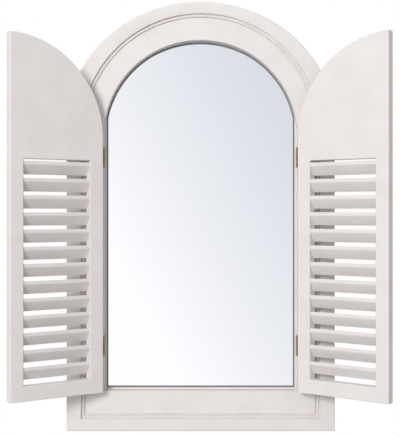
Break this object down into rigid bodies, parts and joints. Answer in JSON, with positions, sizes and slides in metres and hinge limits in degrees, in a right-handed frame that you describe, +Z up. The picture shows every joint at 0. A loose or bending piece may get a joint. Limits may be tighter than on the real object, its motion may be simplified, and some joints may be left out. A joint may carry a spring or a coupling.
{
  "type": "shutter mirror",
  "caption": "Arched wall mirror in a moulded painted frame, with a pair of louvred shutters hinged at the sides that close over the glass.",
  "frame": {"origin": "on the wall plane, at the middle of the bottom rail's back face", "axes": "+Z up, +X to the right seen from the front, the face looks along -Y and the wall side along +Y"},
  "size_m": [0.674, 0.1524, 0.8],
  "materials": {
    "painted_wood": "satin warm off-white paint",
    "silvered_glass": "polished silvered glass",
    "glazing_tape": "matt grey glazing tape",
    "hardboard": "raw brown hardboard",
    "brass": "satin lacquered brass",
    "zinc": "zinc plated steel"
  },
  "bodies": {
    "frame": {"bottom_rail": "painted_wood", "left_stile": "painted_wood", "right_stile": "painted_wood", "left_arch": "painted_wood", "right_arch": "painted_wood", "mirror_glass": "silvered_glass", "glazing_strip": "glazing_tape", "backing_board": "hardboard", "left_hanger": "zinc", "left_lower_turn_button": "zinc", "left_upper_turn_button": "zinc", "left_lower_frame_leaf": "brass", "left_lower_pin": "brass", "left_upper_frame_leaf": "brass", "left_upper_pin": "brass", "right_hanger": "zinc", "right_lower_turn_button": "zinc", "right_upper_turn_button": "zinc", "right_lower_frame_leaf": "brass", "right_lower_pin": "brass", "right_upper_frame_leaf": "brass", "right_upper_pin": "brass"},
    "left_shutter": {"left_hinge_stile": "painted_wood", "left_meeting_stile": "painted_wood", "left_top_panel": "painted_wood", "left_shutter_rail": "painted_wood", "left_slat_01": "painted_wood", "left_slat_02": "painted_wood", "left_slat_03": "painted_wood", "left_slat_04": "painted_wood", "left_slat_05": "painted_wood", "left_slat_06": "painted_wood", "left_slat_07": "painted_wood", "left_slat_08": "painted_wood", "left_slat_09": "painted_wood", "left_slat_10": "painted_wood", "left_slat_11": "painted_wood", "left_slat_12": "painted_wood", "left_slat_13": "painted_wood", "left_lower_shutter_leaf": "brass", "left_upper_shutter_leaf": "brass"},
    "right_shutter": {"right_hinge_stile": "painted_wood", "right_meeting_stile": "painted_wood", "right_top_panel": "painted_wood", "right_shutter_rail": "painted_wood", "right_slat_01": "painted_wood", "right_slat_02": "painted_wood", "right_slat_03": "painted_wood", "right_slat_04": "painted_wood", "right_slat_05": "painted_wood", "right_slat_06": "painted_wood", "right_slat_07": "painted_wood", "right_slat_08": "painted_wood", "right_slat_09": "painted_wood", "right_slat_10": "painted_wood", "right_slat_11": "painted_wood", "right_slat_12": "painted_wood", "right_slat_13": "painted_wood", "right_lower_shutter_leaf": "brass", "right_upper_shutter_leaf": "brass"}
  },
  "joints": [
    {"name": "left_shutter_hinge", "type": "hinge", "parent": "frame", "child": "left_shutter", "pos_m": [-0.1857, -0.0305, 0.2985], "axis": [0, 0, 1], "range_deg": [-32.8, 147.2]},
    {"name": "right_shutter_hinge", "type": "hinge", "parent": "frame", "child": "right_shutter", "pos_m": [0.1857, -0.0305, 0.2985], "axis": [0, 0, 1], "range_deg": [-144.6, 35.4]}
  ]
}
